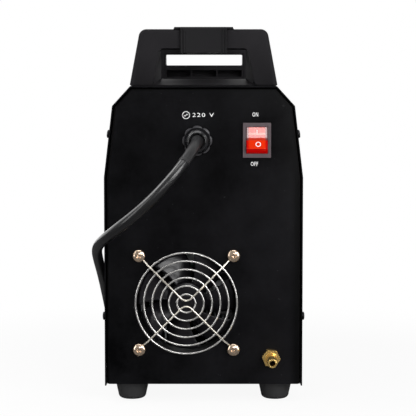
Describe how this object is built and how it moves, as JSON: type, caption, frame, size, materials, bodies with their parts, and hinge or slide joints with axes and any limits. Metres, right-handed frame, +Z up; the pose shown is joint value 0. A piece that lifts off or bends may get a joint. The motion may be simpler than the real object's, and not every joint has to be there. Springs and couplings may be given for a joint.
{
  "type": "plasma cutter power unit",
  "caption": "Black sheet-steel plasma cutter unit with carry handle, rear fan and guard, rocker switch, gas inlet, front controls and mains cord.",
  "frame": {"origin": "on the ground under the middle of the unit with its rear and front fittings, without the mains cord", "axes": "+Y from the rear panel to the control panel, +Z up, +X to the right when seen from the rear"},
  "size_m": [0.1892, 0.5845, 0.3287],
  "materials": {
    "case_powder": "semi-matt black powder coat",
    "zinc_sheet": "zinc-plated sheet",
    "black_screw": "blackened steel",
    "handle_plastic": "fine-grained dark grey moulding",
    "grip_plastic": "fine-grained dark grey moulding",
    "zinc_steel": "zinc plated",
    "foot_rubber": "matt rubber",
    "guard_chrome": "bright plated wire",
    "fan_plastic": "black moulding",
    "fan_blade": "glossy black moulding",
    "fan_screw_zinc": "yellow iridescent zinc",
    "bezel_plastic": "dark grey moulding",
    "rocker_red": "translucent red moulding",
    "tin": "tinned",
    "gland_nylon": "black nylon",
    "gland_rubber": "black rubber",
    "brass": "turned brass",
    "hose_rubber": "blue-black hose",
    "coil_plastic": "encapsulated coil",
    "valve_steel": "stainless",
    "sink_aluminium": "extruded",
    "chip_plastic": "moulded package",
    "board_green": "lacquered laminate",
    "standoff_brass": "turned brass",
    "capacitor_sleeve": "shrink sleeve",
    "ferrite": "sintered ferrite, dark grey",
    "copper": "enamelled copper wire",
    "pot_metal": "pressed steel",
    "knob_plastic": "black moulding",
    "display_red": "dark red window",
    "lamp_green": "clear green lens",
    "socket_plastic": "black moulding",
    "cord_sheath": "semi-gloss sheath",
    "boot_rubber": "semi-gloss sleeve",
    "plug_plastic": "black moulding",
    "pin_nickel": "nickel plated"
  },
  "bodies": {
    "case": {"chassis": "zinc_sheet", "rear_panel": "case_powder", "front_panel": "case_powder", "cover": "case_powder", "cover_screws": "black_screw", "handle_frame": "handle_plastic", "handle_grip": "grip_plastic", "handle_screws": "zinc_steel", "foot_rear_left": "foot_rubber", "foot_rear_right": "foot_rubber", "foot_front_left": "foot_rubber", "foot_front_right": "foot_rubber", "foot_screws": "zinc_steel", "fan_guard": "guard_chrome", "fan_frame": "fan_plastic", "fan_stator": "fan_plastic", "fan_screws": "fan_screw_zinc", "fan_nuts": "zinc_steel", "switch_housing": "bezel_plastic", "switch_terminals": "tin", "gland_body": "gland_nylon", "gland_nut": "gland_nylon", "gland_locknut": "gland_nylon", "gland_seal": "gland_rubber", "gas_inlet": "brass", "gas_inlet_nut": "brass", "gas_inlet_hose": "hose_rubber", "valve_body": "brass", "valve_coil": "coil_plastic", "valve_spring": "valve_steel", "gas_outlet_hose": "hose_rubber", "heat_sink_left": "sink_aluminium", "heat_sink_right": "sink_aluminium", "transistors": "chip_plastic", "main_board": "board_green", "board_standoffs": "standoff_brass", "bus_capacitors": "capacitor_sleeve", "bridge_rectifier": "chip_plastic", "transformer_core": "ferrite", "transformer_winding": "copper", "choke_core": "ferrite", "choke_winding": "copper", "control_board": "board_green", "potentiometer": "pot_metal", "display_window": "display_red", "indicator_lamps": "lamp_green", "torch_flange": "socket_plastic", "torch_stud": "brass", "earth_collar": "socket_plastic", "earth_contact": "brass", "trigger_socket": "tin", "cord_boot": "boot_rubber", "cord_run": "cord_sheath", "cord_coil": "cord_sheath", "plug_body": "plug_plastic", "plug_pins": "pin_nickel"},
    "rocker": {"switch_rocker": "rocker_red"},
    "fan": {"fan_rotor": "fan_blade"},
    "knob": {"control_knob": "knob_plastic"},
    "plunger": {"valve_plunger": "valve_steel"}
  },
  "joints": [
    {"name": "rocker_tilt", "type": "hinge", "parent": "case", "child": "rocker", "pos_m": [0.0463, -0.15684, 0.2298], "axis": [1, 0, 0], "range_deg": [0, 32]},
    {"name": "fan_spin", "type": "hinge", "parent": "case", "child": "fan", "pos_m": [-0.015, -0.15, 0.088], "axis": [0, 1, 0], "continuous": true},
    {"name": "knob_turn", "type": "hinge", "parent": "case", "child": "knob", "pos_m": [0, 0.17, 0.168], "axis": [0, -1, 0], "range_deg": [-140, 140]},
    {"name": "plunger_lift", "type": "slide", "parent": "case", "child": "plunger", "axis": [0, 0, 1], "range_m": [0, 0.0025], "stiffness_N_per_m": 300, "springref_m": -0.001, "deforming": ["valve_spring"]}
  ]
}
